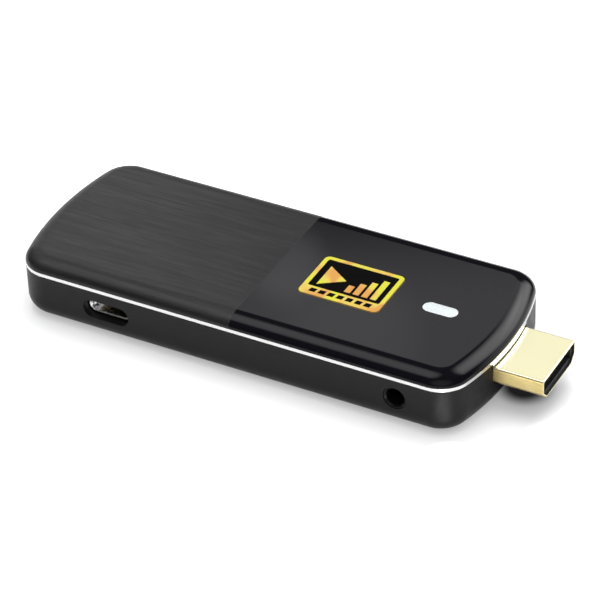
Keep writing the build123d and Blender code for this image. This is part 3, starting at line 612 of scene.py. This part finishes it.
def cover_skin(outline, bevel_steps=16):
    """The upper shell: bevel, flat top with its lamp hole and badge recess, and the hollow inside.
    The glossy half has slot 0 and the brushed half slot 1."""
    shape = Shape()
    ends = []
    for i in range(bevel_steps + 1):
        t = pi / 2 * i / bevel_steps
        out, up = COVER_RISE * cos(t), BEVEL_WIDTH * sin(t)
        size = hypot(out, up)
        inset, rise = BEVEL_WIDTH * (1 - cos(t)), COVER_RISE * sin(t)
        ends.append((inset, COVER_BASE + rise, out / size, up / size))

    def half_of(x):
        return 1 if x < SEAM_X else 0

    inner_base = (CAVITY_INSET, COVER_BASE)
    sweep(shape, outline, list(zip(ends, ends[1:])), half_of)
    sweep(shape, outline, straight(inner_base, (0, COVER_BASE)), half_of)
    sweep(shape, outline, straight((CAVITY_INSET, CEILING), inner_base), half_of)
    lamp = oval_loop(LAMP_X, 0, LAMP_LENGTH + 2 * GAP, LAMP_WIDTH + 2 * GAP)
    badge = box_loop(BADGE_X, 0, BADGE_LENGTH + 2 * GAP, BADGE_WIDTH + 2 * GAP, BADGE_CORNER + GAP)
    flat = inset_loop(outline, BEVEL_WIDTH)
    holes = [(LAMP_X, plan(lamp)), (BADGE_X, plan(badge))]
    for side in (-1, 1):
        shape.face([(x, y, TOP) for x, y in half_flat(flat, holes, side)])
    rear = [p for p in flat if p[0] < SEAM_X + ON_LINE] + [(SEAM_X, 0)]
    rear.sort(key=lambda p: atan2(p[1], p[0] - REAR_X / 2) % (2 * pi))
    shape.face([(x, y, TOP) for x, y in rear], slot=1)
    shape.wall(lamp, CEILING, TOP, inward=True)
    floor = BADGE_TOP - BADGE_THICKNESS
    shape.wall(badge, floor, TOP, inward=True)
    shape.flat([plan(badge)], floor)
    shape.flat([inset_loop(outline, CAVITY_INSET), plan(lamp)], CEILING, up=False)
    return shape.make("cover_skin", [gloss, brushed], ["top_cover"])


def ring_band(outline):
    """The bright band with broken edges, and its tab over the plug."""
    shape = Shape()
    edge = RING_EDGE
    upper = ((0, COVER_BASE - edge), (edge, COVER_BASE), (RIM, COVER_BASE), (RIM, SHELL_TOP))
    tab = ((RIM, TAB_BOTTOM), (edge, TAB_BOTTOM), (0, TAB_BOTTOM + edge), (0, SHELL_TOP + edge))
    plain = straight((RIM, SHELL_TOP), (edge, SHELL_TOP), (0, SHELL_TOP + edge), *upper)
    tabbed = straight((RIM, SHELL_TOP), *tab, *upper)
    front = FRONT_X - 1.0
    for a, b in zip(outline, outline[1:] + outline[:1]):
        over_plug = min(a[0], b[0]) > front and max(abs(a[1]), abs(b[1])) < TAB_HALF + ON_LINE
        sweep(shape, [a, b], tabbed if over_plug else plain, closed=False)
    for p in outline:
        if p[0] > front and abs(abs(p[1]) - TAB_HALF) < ON_LINE:
            stops = (*tab, (edge, SHELL_TOP), (RIM, SHELL_TOP))
            cap = [(p[0] - p[2] * i, p[1] - p[3] * i, z) for i, z in stops]
            shape.face(cap if p[1] < 0 else cap[::-1])
    return shape.make("ring_band", [ring_metal], ["trim_ring"])


def plug_loop(inset, corner_steps=6):
    """The plug's outline as (y, z, ny, nz), against the clock when seen from its mouth."""
    half = PLUG_WIDTH / 2 - inset
    top = PLUG_HEIGHT / 2 - inset
    cut = PLUG_CHAMFER - inset * (2 - sqrt(2))
    corners = [
        (half, top), (-half, top), (-half, cut - top),
        (cut - half, -top), (half - cut, -top), (half, cut - top),
    ]
    radius = max(PLUG_CORNER - inset, 0.1)
    loop = []
    n = len(corners)
    for i in range(n):
        before, here, after = (Vector(corners[(i + k) % n]) for k in (-1, 0, 1))
        u = (before - here).normalized()
        v = (after - here).normalized()
        half_angle = u.angle(v) / 2
        middle = here + (u + v).normalized() * (radius / sin(half_angle))
        first = here + u * (radius / tan(half_angle)) - middle
        last = here + v * (radius / tan(half_angle)) - middle
        a0 = atan2(first.y, first.x)
        turn = (atan2(last.y, last.x) - a0 + pi) % (2 * pi) - pi
        loop += arc(middle.x, middle.y, radius, a0, a0 + turn, corner_steps)
    return loop


def plug_tube(lip_steps=6):
    """The plug's folded shell with a rolled lip.
    Its top has slot 0, its inside slot 1 and its sides and bottom slot 2; the inside and the sides
    and bottom are painted darker than the top, as shade."""
    shape = Shape()
    plate_up = 0.65
    outer, inner = plug_loop(0), plug_loop(PLUG_SHEET)

    def place(p, x, inset=0):
        return (x, p[0] - p[2] * inset, PLUG_AXIS_Z + p[1] - p[3] * inset)

    def band(loop, start, stop, inside=False):
        """Each end is (x, inset, part of the normal along x, part of it outward)."""
        (x0, i0, *n0), (x1, i1, *n1) = start, stop
        for a, b in zip(loop, loop[1:] + loop[:1]):
            corners = [place(a, x0, i0), place(b, x0, i0), place(b, x1, i1), place(a, x1, i1)]
            ends = ((a, n0), (b, n0), (b, n1), (a, n1))
            normals = [(n[0], n[1] * p[2], n[1] * p[3]) for p, n in ends]
            # Faces that look up get the top's gold, the rest get the copy painted darker as shade
            side = 0 if (a[3] + b[3]) / 2 >= plate_up else 2
            shape.face(corners, normals, 1 if inside else side)

    rows = [(PLUG_REAR_X, 0, 0, 1)]
    for i in range(lip_steps + 1):
        t = pi / 2 * i / lip_steps
        x, inset = MOUTH_X - PLUG_LIP * (1 - sin(t)), PLUG_LIP * (1 - cos(t))
        rows.append((x, inset, sin(t), cos(t)))
    for start, stop in zip(rows, rows[1:]):
        band(outer, start, stop)
    for a, b, c, d in zip(outer, outer[1:] + outer[:1], inner[1:] + inner[:1], inner):
        mouth = [place(a, MOUTH_X, PLUG_LIP), place(b, MOUTH_X, PLUG_LIP)]
        shape.face(mouth + [place(c, MOUTH_X), place(d, MOUTH_X)], [(1, 0, 0)] * 4)
        shape.face([place(p, PLUG_REAR_X) for p in (a, d, c, b)], [(-1, 0, 0)] * 4)
    band(inner, (MOUTH_X, 0, 0, -1), (PLUG_REAR_X, 0, 0, -1), inside=True)
    materials = [plug_plate, plug_inside_painted_shade, plug_flank_painted_shade]
    piece = shape.make("plug_tube", materials, ["video_plug_shell"])
    piece.visible_diffuse = False


def prism(shape, loop, low, high, slot=0):
    """A flat shape on the badge with upright sides, from a loop of (x, y)."""
    shape.flat([loop], high, slot=slot)
    shape.flat([loop], low, up=False, slot=slot)
    for a, b in zip(loop, loop[1:] + loop[:1]):
        shape.face(upright(a, b, low, high), slot=slot)


def badge_plate():
    """The gold plate: a frame and a lower strip round a sunk black window."""
    shape = Shape()
    border, strip, slant = 1.0, 2.7, 0.7
    window_corner, window_steps = 0.35, 5
    low, high = BADGE_TOP - BADGE_EDGE, BADGE_TOP
    base = BADGE_TOP - BADGE_THICKNESS
    length, width = BADGE_LENGTH - 2 * BADGE_EDGE, BADGE_WIDTH - 2 * BADGE_EDGE
    outer = box_loop(BADGE_X, 0, BADGE_LENGTH, BADGE_WIDTH, BADGE_CORNER)
    inner = box_loop(BADGE_X, 0, length, width, BADGE_CORNER - BADGE_EDGE)
    length, width = BADGE_LENGTH - 2 * border, BADGE_WIDTH - border - strip
    middle = (strip - border) / 2
    window = box_loop(BADGE_X, middle, length, width, window_corner, window_steps)
    shape.wall(outer, base, low)
    for a, b, c, d in zip(outer, outer[1:] + outer[:1], inner[1:] + inner[:1], inner):
        corners = [(*a[:2], low), (*b[:2], low), (*c[:2], high), (*d[:2], high)]
        normals = [(p[2] * slant, p[3] * slant, slant) for p in (a, b, c, d)]
        shape.face(corners, normals, 2)
    shape.flat([plan(inner), plan(window)], high)
    shape.wall(window, BADGE_TOP - WINDOW_SINK, high, inward=True)
    shape.flat([plan(window)], BADGE_TOP - WINDOW_SINK, slot=1)
    shape.flat([plan(outer)], base, up=False)
    return shape.make("badge_plate", [foil, window_black, badge_edge], ["badge"])


def badge_motif():
    """Plain shapes in the window and on the strip: a play arrow, rising bars and short dashes."""
    shape = Shape()
    left = BADGE_X - BADGE_LENGTH / 2
    bottom = -BADGE_WIDTH / 2
    low, high = BADGE_TOP - WINDOW_SINK, BADGE_TOP - 0.02
    base = bottom + 3.5
    tail, tip, arrow_height = left + 2.4, left + 7.0, 6.1
    arrow = [(tail, base), (tip, base + arrow_height / 2), (tail, base + arrow_height)]
    prism(shape, arrow, low, high)
    first_bar, bar_pitch, bar_width, bar_height, bar_rise = left + 8.0, 1.75, 1.2, 2.2, 1.3
    for i in range(4):
        x0 = first_bar + i * bar_pitch
        x1 = x0 + bar_width
        top = base + bar_height + i * bar_rise
        prism(shape, [(x0, base), (x1, base), (x1, top), (x0, top)], low, high)
    first_dash, dash_pitch, dash_length, dash_lean = left + 2.0, 1.85, 1.25, 0.2
    y0 = bottom + 1.0
    y1 = y0 + 1.1
    low, high = BADGE_TOP - 0.05, BADGE_TOP + 0.02
    for i in range(7):
        x0 = first_dash + i * dash_pitch
        x1 = x0 + dash_length
        dash = [(x0, y0), (x1, y0), (x1 + dash_lean, y1), (x0 + dash_lean, y1)]
        prism(shape, dash, low, high, 1)
    return shape.make("badge_motif", [foil, window_black], ())


def lamp_lens(rows=5):
    """The lamp's slightly domed face, seated on the light pipe."""
    shape = Shape()
    crown, tilt, reach = 0.12, 0.25, LAMP_WIDTH / 2
    levels = []
    for i in range(rows + 1):
        t = pi / 2 * i / rows
        levels.append((reach * (1 - cos(t)), TOP + crown * sin(t)))
    rim = oval_loop(LAMP_X, 0, LAMP_LENGTH, LAMP_WIDTH)
    for low, high in zip(levels, levels[1:]):
        for a, b in zip(rim, rim[1:] + rim[:1]):
            corners, normals = [], []
            for p, (inset, z) in ((a, low), (b, low), (b, high), (a, high)):
                corners.append((p[0] - p[2] * inset, p[1] - p[3] * inset, z))
                lean = tilt * (1 - inset / reach)
                normals.append(Vector((p[2] * lean, p[3] * lean, 1)).normalized())
            shape.face(corners, normals)
    shape.flat([plan(rim)], TOP, up=False)
    return shape.make("lamp_lens", [lens], ())


outline = case_outline()
cover_skin(outline)
ring_band(outline)
plug_tube()
badge_plate()
badge_motif()
lamp_lens()


# Stage: floor, light and camera

CAMERA_AZIMUTH = radians(29.048)
CAMERA_ELEVATION = radians(35.999)
CAMERA_ROLL = -0.0357
CAMERA_LENS = 182.83
CAMERA_SENSOR = 36.0
CAMERA_CLIP = (0.01, 20.0)
# In millimetres
CAMERA_TARGET = (-0.867, 1.112, 5.0)
CAMERA_DISTANCE = 564.10

# The bright strip low on the far side: its direction, the soft lower and upper edges, its width
# (degrees) and its strength
FAR = (-sin(CAMERA_AZIMUTH), cos(CAMERA_AZIMUTH), 0)
FAR_LOW = (33.6, 36.3)
FAR_HIGH = (38.5, 43.0)
FAR_SIDE = (46.0, 72.0)
FAR_STRENGTH = 1.58
# Soft boxes: direction, outer edge, start of full strength (degrees) and strength
SOFT_BOXES = (
    ((-0.393, 0.0, 0.92), 25, 4, 3.6),
    ((0.3, 0.70, 0.62), 30, 4, 6.4),
    ((0.66, 0.72, 0.12), 24, 6, 2.0),
    ((-0.4001, 0.7112, 0.5779), 0.95, 0.1, 1.0),
    ((-0.3741, 0.7078, 0.599), 1.6, 0.3, 0.5),
    ((0.35, -0.72, 0.60), 38, 8, 0.9),
    ((-0.69, 0.68, 0.24), 18, 4, 1.2),
)
# The dim light of the room in every direction
ROOM = 0.035
# Area lights: name, place and target (metres), size (metres), power (watts), whether mirrors see it
AREA_LIGHTS = (
    ("key", (0.2 * FAR[0], 0.2 * FAR[1], 1.0), (0, 0, 0), 0.6, 5, False),
    ("fill", (0, 0, 1.6), (0, 0, 0), 3.6, 74, False),
    ("sheen", (-0.183, 0.218, 0.180), (-0.046, 0.013, 0.0128), 0.03, 0.038, True),
)

# The floor, in millimetres: half its side and how far it lies below the case
FLOOR_HALF = 3000
FLOOR_DROP = 0.02
# Pools of shade under the plug, a deep one in a wide faint one: centre, start and end of the soft
# edge, and how much of the floor's colour is left inside
SHADE_POOLS = (
    ((44.7, 1.1, 0), 2.5, 6.3, 0.03),
    ((46.7, 0.7, 0), 0.3, 14.0, 0.7),
)
# The halo of shade round the case, which is taken as a box with round corners: its centre, half
# size without the corners, and corner; how far from it the shade stays full and where it ends; and
# how much of the floor's colour is left there
CASE_CENTRE = (-4.6, 0, 0)
CASE_HALF = (39.3, 11.0, 1.0)
CASE_CORNER = 8.0
HALO_FULL = 6.5
HALO_END = 11.5
HALO_LEFT = 0.56
# The floor's glow: even beyond the halo, and stronger in the halo, where it paints light into the
# case's shadow
HALO_PAINTED_GLOW = 0.75
FLOOR_GLOW = 0.25
# A bright spot that the near front corner of the case mirrors: centre, start, end and glow
BRIGHT_POOL = ((42.2, -25.0, 0), 1.0, 7.0, 9.0)


def floor():
    """One wide pale square whose colour and glow are shaded round the case."""
    m, tree, shader = new_material("floor_white")
    cells = noise(tree, (0.02, 0.02, 0.02), 2)
    colour = blend(tree, cells, (0.93, 0.93, 0.93), (0.95, 0.95, 0.95))
    shader.inputs["Roughness"].default_value = 0.9
    shader.inputs["Specular IOR Level"].default_value = 0.1
    place = object_place(tree)

    def pool(centre, start, end, inside, outside):
        """A value that runs from inside to outside round a centre."""
        away = vector_math(tree, "DISTANCE", place, metres(centre), "Value")
        return map_range(tree, away, start * MM, end * MM, inside, outside)

    def halo(inside, outside):
        """A value that runs from inside to outside round the case."""
        start, end = (HALO_FULL + CASE_CORNER) * MM, (HALO_END + CASE_CORNER) * MM
        return map_range(tree, beside, start, end, inside, outside)

    beside = vector_math(tree, "SUBTRACT", place, metres(CASE_CENTRE))
    beside = vector_math(tree, "ABSOLUTE", beside)
    beside = vector_math(tree, "SUBTRACT", beside, metres(CASE_HALF))
    beside = vector_math(tree, "LENGTH", vector_math(tree, "MAXIMUM", beside), output="Value")
    shades = [halo(HALO_LEFT, 1.0)]
    shades += [pool(centre, start, end, left, 1.0) for centre, start, end, left in SHADE_POOLS]
    for shade in shades:
        shaded = tree.nodes.new("ShaderNodeVectorMath")
        shaded.operation = "SCALE"
        tree.links.new(colour, shaded.inputs[0])
        tree.links.new(shade, shaded.inputs["Scale"])
        colour = shaded.outputs["Vector"]
    tree.links.new(colour, shader.inputs["Base Color"])
    tree.links.new(colour, shader.inputs["Emission Color"])
    # The glow, with painted light in the halo and in the bright spot
    glow = compute(tree, "ADD", halo(HALO_PAINTED_GLOW, FLOOR_GLOW), pool(*BRIGHT_POOL, 0.0))
    tree.links.new(glow, shader.inputs["Emission Strength"])
    square = ((-1, -1), (1, -1), (1, 1), (-1, 1))
    corners = [metres((x * FLOOR_HALF, y * FLOOR_HALF, -FLOOR_DROP)) for x, y in square]
    mesh = bpy.data.meshes.new("floor")
    mesh.from_pydata(corners, [], [[0, 1, 2, 3]])
    mesh.materials.append(m)
    piece = bpy.data.objects.new("floor", mesh)
    bpy.context.scene.collection.objects.link(piece)


def area_light(name, place, target, size, power, glossy):
    data = bpy.data.lights.new(name, "AREA")
    data.shape = "RECTANGLE"
    data.size = size
    data.size_y = size
    data.energy = power
    light = bpy.data.objects.new(name, data)
    bpy.context.scene.collection.objects.link(light)
    light.location = place
    light.rotation_mode = "QUATERNION"
    light.rotation_quaternion = (Vector(target) - Vector(place)).to_track_quat("-Z", "Y")
    light.visible_glossy = glossy
    light.visible_camera = False


def world_light():
    """A studio's surround: a dim room, a bright strip low on the far side and soft boxes."""
    world = bpy.data.worlds.new("studio")
    bpy.context.scene.world = world
    world.use_nodes = True
    tree = world.node_tree
    tree.nodes.clear()
    out = tree.nodes.new("ShaderNodeOutputWorld")
    background = tree.nodes.new("ShaderNodeBackground")
    place = tree.nodes.new("ShaderNodeTexCoord").outputs["Generated"]

    def toward(direction):
        """The cosine of the angle to a direction."""
        unit = Vector(direction).normalized()
        return vector_math(tree, "DOT_PRODUCT", place, unit, "Value")

    def edge(source, function, dark, full, strength=1.0):
        """Light that grows from nothing at one angle to full strength at another."""
        dark, full = function(radians(dark)), function(radians(full))
        return map_range(tree, source, dark, full, 0.0, strength)

    up = toward((0, 0, 1))
    rise = edge(up, sin, *FAR_LOW)
    fall = edge(up, sin, *FAR_HIGH[::-1])
    width = edge(toward(FAR), cos, *FAR_SIDE[::-1], FAR_STRENGTH)
    total = compute(tree, "MULTIPLY", compute(tree, "MULTIPLY", rise, fall), width)
    for direction, outer, inner, strength in SOFT_BOXES:
        total = compute(tree, "ADD", total, edge(toward(direction), cos, outer, inner, strength))
    total = compute(tree, "ADD", total, ROOM)
    tree.links.new(total, background.inputs["Color"])
    background.inputs["Strength"].default_value = 1.0
    tree.links.new(background.outputs["Background"], out.inputs["Surface"])
    world.cycles_visibility.diffuse = False


def camera():
    data = bpy.data.cameras.new("camera")
    data.sensor_width = CAMERA_SENSOR
    data.lens = CAMERA_LENS
    data.clip_start, data.clip_end = CAMERA_CLIP
    a, e, roll = CAMERA_AZIMUTH, CAMERA_ELEVATION, CAMERA_ROLL
    back = Vector((sin(a) * cos(e), -cos(a) * cos(e), sin(e)))
    level = Vector((cos(a), sin(a), 0))
    rise = back.cross(level)
    right = cos(roll) * level + sin(roll) * rise
    up = cos(roll) * rise - sin(roll) * level
    piece = bpy.data.objects.new("camera", data)
    bpy.context.scene.collection.objects.link(piece)
    turned = Matrix((right, up, back)).transposed().to_4x4()
    place = Vector(metres(CAMERA_TARGET)) + back * CAMERA_DISTANCE * MM
    piece.matrix_world = Matrix.Translation(place) @ turned
    bpy.context.scene.camera = piece


floor()
world_light()
for settings in AREA_LIGHTS:
    area_light(*settings)
camera()
bpy.context.scene.view_settings.view_transform = "Standard"
